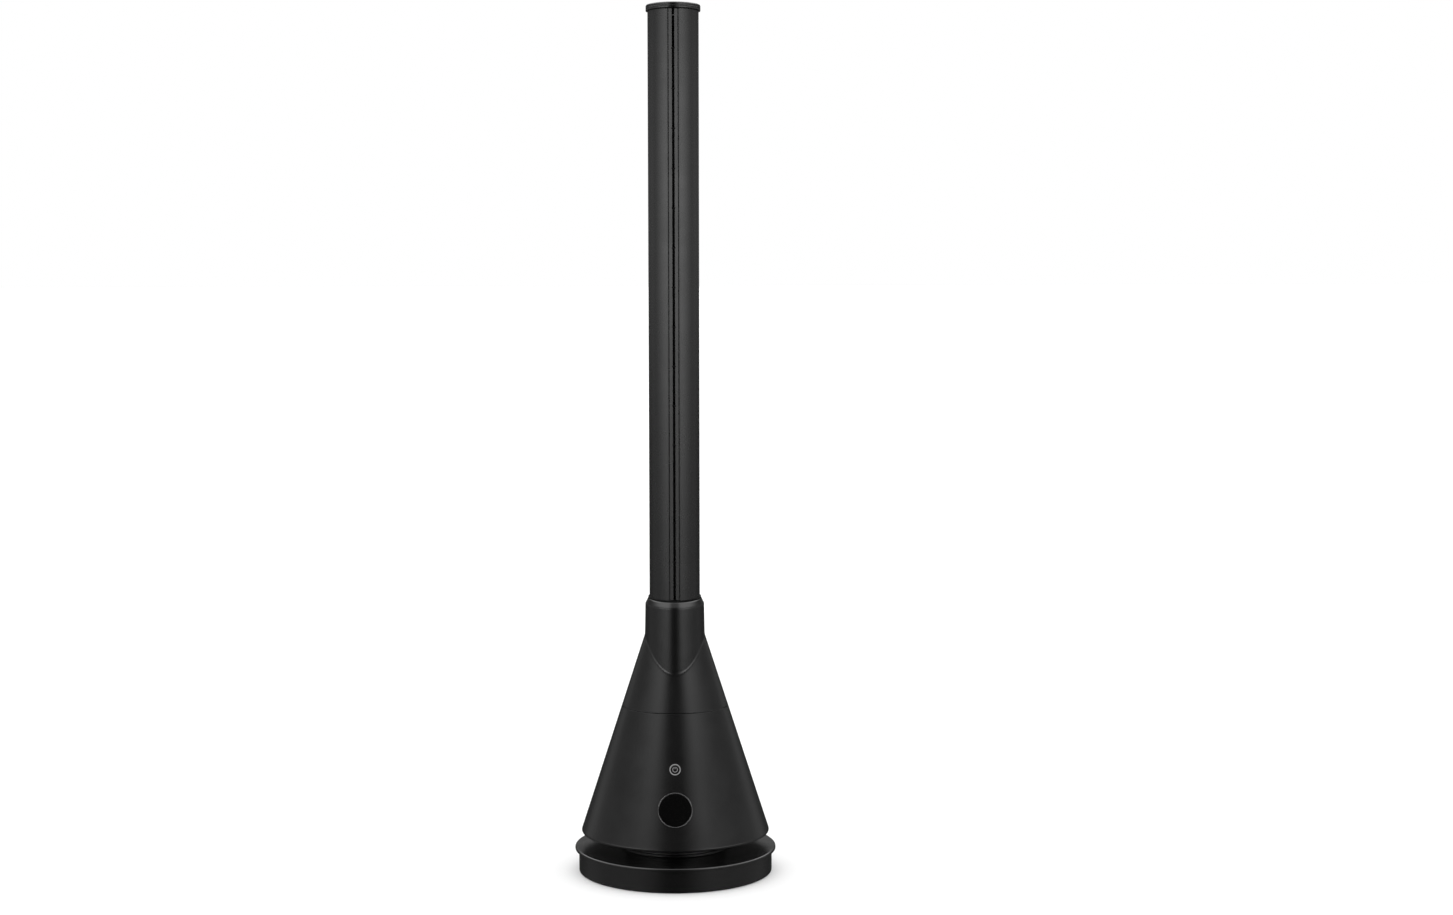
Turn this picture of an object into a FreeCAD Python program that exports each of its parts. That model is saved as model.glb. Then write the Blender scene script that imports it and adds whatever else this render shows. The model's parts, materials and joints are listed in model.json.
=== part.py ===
"""A tower fan: a weighted dish, a conical blower head that turns on it, and a slotted oval column.

Millimetres, +Z up, front towards -Y. The origin is the centre of the footprint, on the floor.
The driving dimensions are in the spreadsheet "dims", and every sub-part is bound to its cells.
"""
import FreeCAD, Part
import math
import os
import Sketcher
from FreeCAD import Placement, Rotation, Vector
from fcgear import fcgear, involute

DIMENSIONS = {
    # Overall
    "overall_height": 960.0,
    "running_gap": 0.05,
    "thin_gap": 0.3,
    # Floor dish
    "dish_radius": 108.1,
    "lip_radius": 112.4,
    "lip_low": 25.0,
    "lip_high": 28.4,
    "deck_high": 27.6,
    "dish_low": 0.6,
    "dish_wall": 2.4,
    "plate_high": 3.8,
    "boss_radius": 60.0,
    "boss_high": 30.0,
    "boss_wall": 2.6,
    "foot_radius": 9.0,
    "foot_ring": 92.0,
    "foot_high": 2.6,
    "base_screw_ring": 80.0,
    # Turning joint
    "post_radius": 11.0,
    "post_bore": 8.5,
    "post_high": 50.0,
    "gear_module": 1.0,
    "gear_teeth": 60,
    "pinion_teeth": 18,
    "gear_slack": 0.15,
    "gear_high": 35.6,
    "washer_high": 31.5,
    "turntable_radius": 55.5,
    "turntable_high": 45.2,
    # Cone
    "cone_low": 44.0,
    "cone_radius": 105.83,
    "cone_slope": 0.3248,
    "cone_wall": 2.6,
    "cone_foot": 4.3,
    "cone_foot_round": 2.6,
    "seam": 187.5,
    "cone_top": 268.0,
    # Collar and column
    "collar_half_width": 34.1,
    "collar_half_depth": 46.0,
    "collar_draft": 0.0195,
    "collar_start": 228.3,
    "collar_wall": 3.0,
    "rim": 308.0,
    "rim_bevel": 6.2,
    "rim_bevel_inset": 2.8,
    "mouth_gap": 0.8,
    "mouth_length": 16.0,
    "seal_high": 309.8,
    "seal_overhang": 1.4,
    "column_half_width": 28.0,
    "column_half_depth": 40.2,
    "column_wall": 2.2,
    "column_low": 228.0,
    "column_high": 952.8,
    "channel_half_width": 5.2,
    "channel_front": -38.95,
    "slot_half_width": 1.25,
    "slot_front": -36.95,
    "slot_back": -22.0,
    "slot_wall": 1.3,
    "slot_low": 300.0,
    "web_pitch": 42.954,
    "web_count": 15,
    "web_top": 910.7,
    "web_thickness": 1.4,
    "web_front": -37.5,
    "vane_depth": 13.0,
    "vane_drop": 40.0,
    "cap_overhang": 1.95,
    "cap_low": 953.2,
    # Display and power button
    "display_height": 87.8,
    "display_radius": 18.05,
    "display_ring_radius": 18.95,
    "button_height": 129.8,
    "button_radius": 4.75,
    "button_ring_radius": 6.1,
    "button_travel": 0.8,
    # Blower
    "deck_low": 60.0,
    "blower_low": 68.6,
    "shaft_radius": 3.0,
    "blade_count": 9,
    "blade_gap": 0.6,
}


class Size:
    """A number together with the spreadsheet expression that gives it."""

    def __init__(self, value, text=None):
        self.value = float(value)
        self.text = text or f"({round(float(value), 6)})"

    def __add__(self, other):
        other = as_size(other)
        return Size(self.value + other.value, f"({self.text} + {other.text})")

    def __sub__(self, other):
        other = as_size(other)
        return Size(self.value - other.value, f"({self.text} - {other.text})")

    def __mul__(self, other):
        other = as_size(other)
        return Size(self.value * other.value, f"({self.text} * {other.text})")

    def __truediv__(self, other):
        other = as_size(other)
        return Size(self.value / other.value, f"({self.text} / {other.text})")

    def __neg__(self):
        return self * -1

    def __radd__(self, other):
        return as_size(other) + self

    def __rsub__(self, other):
        return as_size(other) - self

    def __rmul__(self, other):
        return as_size(other) * self


def as_size(number):
    return number if isinstance(number, Size) else Size(number)


document = FreeCAD.newDocument("tower_fan")
sheet = document.addObject("Spreadsheet::Sheet", "dims")
for row, (alias, number) in enumerate(DIMENSIONS.items(), start=1):
    sheet.set(f"A{row}", alias)
    sheet.set(f"B{row}", str(number))
    sheet.setAlias(f"B{row}", alias)
document.recompute()

parts = []


def dim(alias):
    return Size(DIMENSIONS[alias], f"dims.{alias}")


def part(item, label):
    """Names a finished sub-part and lists it for export."""
    item.Label = label
    parts.append(item)
    return item


# ---------------------------------------------------------------- drawing helpers

def origin_feature(body, role):
    return next(feature for feature in body.Origin.OriginFeatures if feature.Role == role)


def new_body(label):
    body = document.addObject("PartDesign::Body", label)
    body.AllowCompound = True
    return part(body, label)


def new_sketch(body, plane, height=None):
    sketch = body.newObject("Sketcher::SketchObject", "Outline")
    sketch.AttachmentSupport = (origin_feature(body, plane), [""])
    sketch.MapMode = "FlatFace"
    if height is not None:
        sketch.setExpression(".AttachmentOffset.Base.z", as_size(height).text)
    return sketch


def pin_point(sketch, geometry, place, u, v):
    """Holds a sketch point at sheet-driven distances from the origin."""
    for kind, size, axis in (("DistanceX", as_size(u), -2), ("DistanceY", as_size(v), -1)):
        if size.value == 0:
            sketch.addConstraint(Sketcher.Constraint("PointOnObject", geometry, place, axis))
        else:
            index = sketch.addConstraint(Sketcher.Constraint(kind, -1, 1, geometry, place, size.value))
            sketch.setExpression(f"Constraints[{index}]", size.text)


def draw_loop(sketch, corners):
    """Draws one closed outline of straight edges through the corners."""
    start = sketch.GeometryCount
    count = len(corners)
    points = [Vector(as_size(u).value, as_size(v).value, 0) for u, v in corners]
    for index in range(count):
        sketch.addGeometry(Part.LineSegment(points[index], points[(index + 1) % count]), False)
    joins = [Sketcher.Constraint("Coincident", start + index, 2, start + (index + 1) % count, 1)
             for index in range(count)]
    sketch.addConstraint(joins)
    for index, (u, v) in enumerate(corners):
        pin_point(sketch, start + index, 1, u, v)


def draw_circle(sketch, u, v, radius):
    centre = Vector(as_size(u).value, as_size(v).value, 0)
    circle = sketch.addGeometry(Part.Circle(centre, Vector(0, 0, 1), as_size(radius).value), False)
    pin_point(sketch, circle, 3, u, v)
    index = sketch.addConstraint(Sketcher.Constraint("Radius", circle, as_size(radius).value))
    sketch.setExpression(f"Constraints[{index}]", as_size(radius).text)


def revolve(body, corners):
    """Turns an outline of (radius, height) corners about the Z axis."""
    sketch = new_sketch(body, "XZ_Plane")
    draw_loop(sketch, corners)
    feature = body.newObject("PartDesign::Revolution", "Turn")
    feature.Profile = sketch
    feature.ReferenceAxis = (sketch, ["V_Axis"])
    feature.Angle = 360
    document.recompute()
    return feature


def turned(label, corners):
    body = new_body(label)
    revolve(body, corners)
    return body


def ring_corners(inner, outer, low, high):
    return [(inner, low), (outer, low), (outer, high), (inner, high)]


def pocket_circles(body, centres, radius, low, high):
    """Cuts round holes from the height high down to low."""
    before = body.Shape.Volume
    sketch = new_sketch(body, "XY_Plane", high)
    for u, v in centres:
        draw_circle(sketch, u, v, radius)
    feature = body.newObject("PartDesign::Pocket", "Holes")
    feature.Profile = sketch
    feature.setExpression("Length", (as_size(high) - low).text)
    document.recompute()
    if body.Shape.Volume >= before:
        raise RuntimeError(f"the holes in {body.Label} cut nothing")
    return feature


def pocket_loops(body, loops, low, high):
    before = body.Shape.Volume
    sketch = new_sketch(body, "XY_Plane", high)
    for corners in loops:
        draw_loop(sketch, corners)
    feature = body.newObject("PartDesign::Pocket", "Cut")
    feature.Profile = sketch
    feature.setExpression("Length", (as_size(high) - low).text)
    document.recompute()
    if body.Shape.Volume >= before:
        raise RuntimeError(f"the pocket in {body.Label} cuts nothing")
    return feature


def pad_loops(body, loops, low, high):
    sketch = new_sketch(body, "XY_Plane", low)
    for corners in loops:
        draw_loop(sketch, corners)
    feature = body.newObject("PartDesign::Pad", "Pad")
    feature.Profile = sketch
    feature.setExpression("Length", (as_size(high) - low).text)
    document.recompute()
    return feature


def pad_circles(body, centres, radius, low, high):
    sketch = new_sketch(body, "XY_Plane", low)
    for u, v in centres:
        draw_circle(sketch, u, v, radius)
    feature = body.newObject("PartDesign::Pad", "Pad")
    feature.Profile = sketch
    feature.setExpression("Length", (as_size(high) - low).text)
    document.recompute()
    return feature


def repeat_round(body, feature, count):
    pattern = body.newObject("PartDesign::PolarPattern", "Repeat")
    pattern.Originals = [feature]
    pattern.Axis = (origin_feature(body, "Z_Axis"), [""])
    pattern.Angle = 360
    pattern.Occurrences = count
    body.Tip = pattern
    document.recompute()
    return pattern


def round_edges(body, kind, size, wanted):
    """Fillets or chamfers the edges of the body's tip for which wanted(edge) holds."""
    tip = body.Tip
    names = [f"Edge{index}" for index, edge in enumerate(tip.Shape.Edges, start=1) if wanted(edge)]
    feature = body.newObject(f"PartDesign::{kind}", kind)
    feature.Base = (tip, names)
    alias = "Radius" if kind == "Fillet" else "Size"
    feature.setExpression(alias, as_size(size).text)
    document.recompute()
    return feature


def at_radius_and_height(radius, height):
    """A test for circular edges about the Z axis."""
    def wanted(edge):
        curve = edge.Curve
        if not isinstance(curve, Part.Circle):
            return False
        return abs(curve.Radius - radius.value) < 0.01 and abs(curve.Center.z - height.value) < 0.01
    return wanted


def solid(kind, sizes, x=0, y=0, z=0, rotation=None):
    """A Part primitive whose sizes and position are bound to the sheet."""
    item = document.addObject(f"Part::{kind}", kind)
    for name, size in sizes.items():
        item.setExpression(name, as_size(size).text)
    move(item, x, y, z, rotation)
    return item


def move(item, x=0, y=0, z=0, rotation=None):
    item.Placement = Placement(Vector(0, 0, 0), rotation or Rotation())
    for axis, size in (("x", x), ("y", y), ("z", z)):
        item.setExpression(f".Placement.Base.{axis}", as_size(size).text)
    return item


def cylinder(radius, low, high, x=0, y=0):
    return solid("Cylinder", {"Radius": radius, "Height": as_size(high) - low}, x, y, low)


def tube(inner, outer, low, high, x=0, y=0):
    core = cylinder(inner, as_size(low) - 1, as_size(high) + 1, x, y)
    return cut(cylinder(outer, low, high, x, y), [core])


def block(low, high):
    """A box between two corners."""
    sizes = {name: as_size(b) - a for name, a, b in zip(("Length", "Width", "Height"), low, high)}
    return solid("Box", sizes, *low)


def lying_cylinder(radius, y_low, y_high, x, z):
    """A cylinder along +Y."""
    sizes = {"Radius": radius, "Height": as_size(y_high) - y_low}
    return solid("Cylinder", sizes, x, y_low, z, Rotation(Vector(1, 0, 0), -90))


def fuse(items):
    joined = document.addObject("Part::MultiFuse", "Fuse")
    joined.Shapes = items
    return joined


def group(items):
    gathered = document.addObject("Part::Compound", "Group")
    gathered.Links = items
    return gathered


def cut(base, tools):
    result = document.addObject("Part::Cut", "Cut")
    result.Base = base
    result.Tool = tools[0] if len(tools) == 1 else fuse(tools)
    return result


def common(first, second):
    result = document.addObject("Part::Common", "Common")
    result.Base = first
    result.Tool = second
    return result


def oval(half_width, half_depth, height):
    """An ellipse lying at a height, longer front to back."""
    sizes = {"MajorRadius": half_depth, "MinorRadius": half_width}
    return solid("Ellipse", sizes, z=height, rotation=Rotation(Vector(0, 0, 1), 90))


def oval_prism(half_width, half_depth, low, high):
    prism = document.addObject("Part::Extrusion", "Prism")
    prism.Base = oval(half_width, half_depth, low)
    prism.DirMode = "Custom"
    prism.Dir = (0, 0, 1)
    prism.setExpression("LengthFwd", (as_size(high) - low).text)
    prism.Solid = True
    return prism


def oval_ring(half_width, half_depth, wall, low, high):
    inner = oval_prism(half_width - wall, half_depth - wall, as_size(low) - 1, as_size(high) + 1)
    return cut(oval_prism(half_width, half_depth, low, high), [inner])


def loft(sections):
    skin = document.addObject("Part::Loft", "Loft")
    skin.Sections = sections
    skin.Solid = True
    skin.Ruled = True
    return skin


def round_places(ring, count, start):
    """Centres evenly spaced on a ring, from an angle in degrees."""
    angles = [math.radians(start + 360 * index / count) for index in range(count)]
    return [(ring * round(math.cos(angle), 6), ring * round(math.sin(angle), 6)) for angle in angles]


def screws(label, places, head_radius, shank_radius, head, thread):
    """Pan-head screws: head and thread are (low, high) heights, and the two meet."""
    items = []
    for x, y in places:
        cap = cylinder(head_radius, head[0], head[1], x, y)
        shank = cylinder(shank_radius, thread[0], thread[1], x, y)
        items.append(fuse([cap, shank]))
    return part(group(items), label)


# ---------------------------------------------------------------- shared dimensions

def cone_radius(height):
    """Outer radius of the conical casing at a height."""
    return dim("cone_radius") - dim("cone_slope") * (as_size(height) - dim("cone_low"))


def cone_inside(height, gap=0):
    return cone_radius(height) - dim("cone_wall") - gap


cone_tilt = math.degrees(math.atan(DIMENSIONS["cone_slope"]))
gear_distance = dim("gear_module") * (dim("gear_teeth") + dim("pinion_teeth")) / 2 + dim("gear_slack")
base_screw_places = round_places(dim("base_screw_ring"), 5, -36)
foot_places = round_places(dim("foot_ring"), 5, -90)
pivot_screw_places = round_places(Size(19), 4, 45)
turntable_screw_places = round_places(Size(52.6), 6, 0)
grille_screw_places = round_places(Size(95.5), 6, 0)
deck_screw_places = round_places(Size(90), 4, 45)
mount_places = round_places(Size(62), 4, 45)
gland_height = Size(11.5)
screw_radius = Size(1.5)
clear_radius = Size(1.7)


# ---------------------------------------------------------------- floor dish

def base_cover():
    """Outer wall, thin overhanging lip, flush deck and the raised boss that carries the head."""
    wall = dim("dish_radius") - dim("dish_wall")
    deck_low = dim("deck_high") - dim("dish_wall")
    post_hole = dim("post_radius") + dim("thin_gap")
    boss_inside = dim("boss_radius") - dim("boss_wall")
    boss_low = dim("boss_high") - dim("boss_wall")
    body = turned("base_cover", [
        (dim("dish_radius"), dim("dish_low")),
        (dim("dish_radius"), dim("lip_low")),
        (dim("lip_radius"), dim("lip_low")),
        (dim("lip_radius"), dim("lip_high")),
        (dim("boss_radius"), dim("deck_high")),
        (dim("boss_radius"), dim("boss_high")),
        (post_hole, dim("boss_high")),
        (post_hole, boss_low),
        (boss_inside, boss_low),
        (boss_inside, deck_low),
        (wall, deck_low),
        (wall, dim("dish_low")),
    ])
    round_edges(body, "Fillet", 1.5, at_radius_and_height(dim("lip_radius"), dim("lip_high")))
    round_edges(body, "Fillet", 0.9, at_radius_and_height(dim("lip_radius"), dim("lip_low")))
    round_edges(body, "Fillet", 1.0, at_radius_and_height(dim("dish_radius"), dim("dish_low")))
    pad_circles(body, base_screw_places, 4.2, dim("plate_high"), deck_low)
    pocket_circles(body, base_screw_places, screw_radius + 0.02, dim("plate_high"), 18)
    pocket_circles(body, pivot_screw_places, clear_radius, 25, dim("boss_high"))
    before = body.Shape.Volume
    sketch = new_sketch(body, "XZ_Plane")
    draw_circle(sketch, 0, gland_height, 6.6)
    hole = body.newObject("PartDesign::Pocket", "GlandHole")
    hole.Profile = sketch
    hole.setExpression("Length", (dim("dish_radius") + 5).text)
    document.recompute()
    if body.Shape.Volume >= before:
        raise RuntimeError("the gland hole cuts nothing")


def base_plate():
    """Bottom plate with foot recesses, screw recesses and four board pillars."""
    body = turned("base_plate", [
        (0, dim("dish_low")),
        (dim("dish_radius") - dim("dish_wall") - dim("thin_gap"), dim("dish_low")),
        (dim("dish_radius") - dim("dish_wall") - dim("thin_gap"), dim("plate_high")),
        (0, dim("plate_high")),
    ])
    pad_circles(body, [(25, 15), (-25, 15), (25, -15), (-25, -15)], 3, dim("plate_high"), 8)
    pocket_circles(body, foot_places, dim("foot_radius") + 0.05, 0, dim("foot_high"))
    pocket_circles(body, base_screw_places, 3.6, 0, 2.6)
    pocket_circles(body, base_screw_places, clear_radius, 0, dim("plate_high"))


def rubber_feet():
    pads = [cylinder(dim("foot_radius"), 0, dim("foot_high"), x, y) for x, y in foot_places]
    part(group(pads), "rubber_feet")


def base_screws():
    screws("base_screws", base_screw_places, 3.3, screw_radius, (1.3, 2.6), (2.6, 15))


def ballast_ring():
    turned("ballast_ring", ring_corners(Size(46), Size(74), dim("plate_high"), Size(18)))


def cord_gland():
    """A flanged sleeve through the rear of the dish wall."""
    outside = dim("dish_radius") + 0.05
    sleeve = lying_cylinder(6.5, 98, outside, 0, gland_height)
    flange = lying_cylinder(8, outside, outside + 3, 0, gland_height)
    bore = lying_cylinder(3.6, 97, outside + 4, 0, gland_height)
    part(cut(fuse([sleeve, flange]), [bore]), "cord_gland")


def gland_nut():
    """A hexagonal nut behind the wall."""
    sizes = {"Circumradius": 8.6, "Height": 4.6}
    hexagon = solid("Prism", sizes, 0, 100.4, gland_height, Rotation(Vector(1, 0, 0), -90))
    hexagon.Polygon = 6
    part(cut(hexagon, [lying_cylinder(6.5, 99, 107, 0, gland_height)]), "gland_nut")


def cord_clamp():
    """A saddle on the bottom plate that holds the cord inside the dish."""
    saddle = block((-10, 87, dim("plate_high")), (10, 94, 17.5))
    part(cut(saddle, [lying_cylinder(3.6, 86, 95, 0, gland_height)]), "cord_clamp")


def supply_board():
    part(block((-30, -20, 8), (30, 20, 9.6)), "supply_board")


def supply_components():
    transformer = block((-20, -12, 9.6), (-2, 8, 20))
    smoothing = [cylinder(4.5, 9.6, 20.5, x, -9) for x in (6, 17)]
    heat_sink = block((4, 4, 9.6), (24, 8, 20))
    part(group([transformer, *smoothing, heat_sink]), "supply_components")


# ---------------------------------------------------------------- turning joint

def pivot_post():
    """Hollow post with a foot flange under the boss and a groove for the retaining ring."""
    foot_high = dim("boss_high") - 2.6
    body = turned("pivot_post", [
        (dim("post_bore"), foot_high - 3),
        (Size(25), foot_high - 3),
        (Size(25), foot_high),
        (dim("post_radius"), foot_high),
        (dim("post_radius"), Size(47.6)),
        (dim("post_radius") - 0.8, Size(47.6)),
        (dim("post_radius") - 0.8, Size(48.8)),
        (dim("post_radius"), Size(48.8)),
        (dim("post_radius"), dim("post_high")),
        (dim("post_bore"), dim("post_high")),
    ])
    pocket_circles(body, pivot_screw_places, clear_radius, 20, foot_high)


def retaining_ring():
    turned("retaining_ring", ring_corners(dim("post_radius") - 0.8, Size(14.4), Size(47.62), Size(48.78)))


def thrust_washer():
    turned("thrust_washer", ring_corners(Size(50.5), Size(56.5), dim("boss_high"), dim("washer_high")))


def gear_blank(teeth, low, high):
    """An involute spur gear about the Z axis."""
    builder = fcgear.FCWireBuilder()
    involute.CreateExternalGear(builder, DIMENSIONS["gear_module"], teeth, 20, True)
    outline = Part.Wire([curve.toShape() for curve in builder.wire])
    disc = Part.Face(outline).extrude(Vector(0, 0, high - low))
    disc.translate(Vector(0, 0, low))
    return disc


def fixed_gear():
    """The gear that stands still on the boss. The pinion rolls round it."""
    low = DIMENSIONS["boss_high"]
    high = DIMENSIONS["gear_high"]
    shape = gear_blank(DIMENSIONS["gear_teeth"], low, high)
    post_hole = DIMENSIONS["post_radius"] + DIMENSIONS["thin_gap"]
    shape = shape.cut(Part.makeCylinder(post_hole, 10, Vector(0, 0, low - 1)))
    for x, y in pivot_screw_places:
        screw_foot = Vector(x.value, y.value, low - 1)
        shape = shape.cut(Part.makeCylinder(screw_radius.value + 0.02, 10, screw_foot))
    gear = document.addObject("Part::Feature", "fixed_gear")
    gear.Shape = shape
    gear.Placement = Placement(Vector(0, 0, 0), Rotation())
    part(gear, "fixed_gear")


def pivot_screws():
    foot_low = dim("boss_high") - 5.6
    screws("pivot_screws", pivot_screw_places, 3, screw_radius, (foot_low - 2, foot_low), (foot_low, 34.5))


def turntable():
    """The plate that the head stands on, with a skirt below, a rim above and the hub of the bush."""
    outer = dim("turntable_radius")
    low = dim("washer_high") + 0.1
    body = turned("turntable", [
        (outer - 4, low),
        (outer, low),
        (outer, dim("turntable_high")),
        (outer - 6, dim("turntable_high")),
        (outer - 6, Size(41.6)),
        (Size(16.6), Size(41.6)),
        (Size(16.6), Size(46.2)),
        (Size(13.6), Size(46.2)),
        (Size(13.6), Size(36.2)),
        (Size(16.6), Size(36.2)),
        (Size(16.6), Size(38.6)),
        (outer - 4, Size(38.6)),
    ])
    pocket_circles(body, [(0, gear_distance)], 5, 36, 43)
    pocket_circles(body, turntable_screw_places, screw_radius + 0.02, 36, dim("turntable_high"))
    pocket_circles(body, motor_screw_places, 1.27, 37, 43)


def pivot_bush():
    inner = dim("post_radius") + dim("running_gap")
    turned("pivot_bush", [
        (inner, Size(36.2)),
        (Size(13.6), Size(36.2)),
        (Size(13.6), Size(46.2)),
        (Size(16.6), Size(46.2)),
        (Size(16.6), Size(47.4)),
        (inner, Size(47.4)),
    ])


motor_centre = gear_distance - 8
motor_screw_places = [(Size(side * 17.5), motor_centre) for side in (-1, 1)]


def oscillation_motor():
    """A flat geared motor on the turntable. Its output is off centre, over the pinion."""
    can = cylinder(13.5, 41.6, 57.6, 0, motor_centre)
    lug = block((-21, motor_centre - 3.5, 41.6), (21, motor_centre + 3.5, 42.6))
    bores = [cylinder(1.3, 41, 43, x, y) for x, y in motor_screw_places]
    output = cylinder(2.56, 41, 51, 0, gear_distance)
    part(cut(fuse([can, lug]), [*bores, output]), "oscillation_motor")


def oscillation_screws():
    screws("oscillation_screws", motor_screw_places, 2.5, 1.25, (42.6, 44.2), (38.8, 42.6))


def pinion():
    """The motor's pinion and its shaft in one piece. A gap between its teeth faces a gear tooth."""
    teeth = DIMENSIONS["pinion_teeth"]
    shape = gear_blank(teeth, 30.7, 36.8)
    shape = shape.fuse(Part.makeCylinder(2.5, 13.2, Vector(0, 0, 36.8)))
    gear = document.addObject("Part::Feature", "pinion")
    gear.Shape = shape
    gear.Placement = Placement(Vector(0, gear_distance.value, 0), Rotation())
    part(gear, "pinion")


def turntable_screws():
    screws("turntable_screws", turntable_screw_places, 2.9, screw_radius, (48.2, 50), (37.5, 48.2))


# ---------------------------------------------------------------- casing of the head

def intake_grille():
    """The slotted floor of the head. It joins the turntable to the conical casing."""
    low = dim("turntable_high")
    high = low + 3
    inner = dim("turntable_radius") - 6
    outer = cone_inside(high, 0.5)
    body = turned("intake_grille", ring_corners(inner, outer, low, high))
    slot = pocket_loops(body, [[(60, -1.7), (90, -1.7), (90, 1.7), (60, 1.7)]], low, high)
    repeat_round(body, slot, 48)
    pocket_circles(body, turntable_screw_places, clear_radius, low, high)
    pocket_circles(body, grille_screw_places, clear_radius, low, high)


def grille_screws():
    low = dim("turntable_high")
    screws("grille_screws", grille_screw_places, 2.9, screw_radius, (low - 1.6, low), (low, 56))


def tilted(item, height, up=0, out=0, side=0):
    """Stands an item on the front of the cone with its own Z pointing outwards and its Y up the slope."""
    slope = math.radians(cone_tilt)
    along = as_size(up)
    proud = as_size(out)
    y = -cone_radius(height) + along * round(math.sin(slope), 6) - proud * round(math.cos(slope), 6)
    z = as_size(height) + along * round(math.cos(slope), 6) + proud * round(math.sin(slope), 6)
    return move(item, side, y, z, Rotation(Vector(1, 0, 0), 90 - cone_tilt))


def tilted_disc(radius, low, high, height, up=0, side=0):
    disc = solid("Cylinder", {"Radius": radius, "Height": as_size(high) - low})
    return tilted(disc, height, up, low, side)


def tilted_ring(inner, outer, low, high, height):
    bore = tilted_disc(inner, as_size(low) - 1, as_size(high) + 1, height)
    return cut(tilted_disc(outer, low, high, height), [bore])


def tilted_block(low, high, height):
    """A box on the cone's front: its corners are (sideways, up the slope, outwards)."""
    sizes = {name: as_size(b) - a for name, a, b in zip(("Length", "Width", "Height"), low, high)}
    return tilted(solid("Box", sizes), height, low[1], low[2], low[0])


board_pillars = [(side * 12.5, up) for side in (-1, 1) for up in (25, 52)]
button_up = (dim("button_height") - dim("display_height")) / round(math.cos(math.radians(cone_tilt)), 6)


def frustum(radius_at, low, high):
    """A solid frustum between two heights whose radius at a height comes from the given rule."""
    sizes = {"Radius1": radius_at(low), "Radius2": radius_at(high), "Height": high - low}
    return solid("Cone", sizes, z=low)


def shell_blank(low, high):
    """A conical shell of even wall between two heights. Its foot is upright inside and rounded outside."""
    foot_high = low + dim("cone_foot")
    foot_inside = cone_inside(foot_high)
    body = document.addObject("PartDesign::Body", "Blank")
    revolve(body, [
        (foot_inside, low),
        (cone_radius(low), low),
        (cone_radius(high), high),
        (cone_inside(high), high),
        (foot_inside, foot_high),
    ])
    round_edges(body, "Fillet", dim("cone_foot_round"), at_radius_and_height(cone_radius(low), low))
    return body


def lower_shell():
    """Lower part of the cone, with the display window, the button hole and inner screw pillars."""
    low = dim("cone_low")
    high = dim("seam") - 0.3
    blank = shell_blank(low, high)
    grille_top = dim("turntable_high") + 3
    pillars = [cylinder(3.4, grille_top, 61, x, y) for x, y in grille_screw_places]
    pillars += [cylinder(3.2, dim("deck_low") + 2.6, 78, x, y) for x, y in deck_screw_places]
    solid_cone = solid("Cone", {"Radius1": cone_radius(low) - 1, "Radius2": cone_radius(high) - 1,
                                "Height": high - low}, z=low)
    posts = common(fuse(pillars), solid_cone)
    board_posts = [
        tilted_disc(2.4, -10.4, -1.5, dim("display_height"), up, side)
        for side, up in board_pillars
    ]
    holes = [cylinder(screw_radius + 0.02, grille_top - 1, 57, x, y) for x, y in grille_screw_places]
    holes += [cylinder(screw_radius + 0.02, dim("deck_low"), 74, x, y) for x, y in deck_screw_places]
    holes += [tilted_disc(1.12, -11, -5.5, dim("display_height"), up, side) for side, up in board_pillars]
    holes.append(tilted_disc(dim("display_ring_radius") + 0.05, -12, 5, dim("display_height")))
    holes.append(tilted_disc(dim("button_ring_radius") + 0.05, -12, 5, dim("button_height")))
    part(cut(fuse([blank, posts, *board_posts]), holes), "lower_shell")


def upper_shell():
    """Upper part of the cone, grown together with the oval collar round the column's foot."""
    low = dim("seam")
    top = dim("cone_top")
    outside = frustum(cone_radius, low, top)
    inside = frustum(cone_inside, low, top)
    spigot_low = low - 8
    spigot = solid("Cone", {"Radius1": cone_inside(spigot_low, 0.15), "Radius2": cone_inside(low, 0.15),
                            "Height": low - spigot_low}, z=spigot_low)
    spigot_bore = solid("Cone", {"Radius1": cone_inside(spigot_low, 1.9), "Radius2": cone_inside(low, 1.9),
                                 "Height": low - spigot_low}, z=spigot_low)
    step_sizes = {"Radius1": cone_radius(low) - 1, "Radius2": cone_radius(low + 3) - 1, "Height": 3}
    step = solid("Cone", step_sizes, z=low)
    bore_sizes = {"Radius1": cone_inside(low, 1.9), "Radius2": cone_inside(low + 3), "Height": 3}
    step_bore = solid("Cone", bore_sizes, z=low)
    collar_low = Size(200)
    bevel = dim("rim") - dim("rim_bevel")
    collar = loft([
        collar_oval(collar_low, 0),
        collar_oval(bevel, 0),
        collar_oval(dim("rim"), dim("rim_bevel_inset")),
    ])
    hollow_top = dim("rim") - dim("mouth_length")
    hollow = loft([
        collar_oval(collar_low, dim("collar_wall")),
        collar_oval(hollow_top, dim("collar_wall")),
    ])
    mouth_half_width = dim("column_half_width") + dim("mouth_gap")
    mouth_half_depth = dim("column_half_depth") + dim("mouth_gap")
    mouth = oval_prism(mouth_half_width, mouth_half_depth, hollow_top - 2, dim("rim") + 1)
    body = cut(fuse([outside, collar]), [inside, hollow, mouth])
    trimmed = cut(body, [cylinder(70, 150, low)])
    bolts = [lying_cylinder(clear_radius, 38, 50, 0, z) for z in column_screw_heights]
    sockets = [lying_cylinder(3.3, 44, 50, 0, z) for z in column_screw_heights]
    sleeve = cut(fuse([spigot, step]), [spigot_bore, step_bore])
    part(cut(fuse([trimmed, sleeve]), [*bolts, *sockets]), "upper_shell")


column_screw_heights = [Size(252), Size(280)]


def collar_oval(height, inset):
    draft = dim("collar_draft") * (as_size(height) - dim("collar_start"))
    return oval(dim("collar_half_width") - draft - inset, dim("collar_half_depth") - draft - inset, height)


# ---------------------------------------------------------------- column

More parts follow.
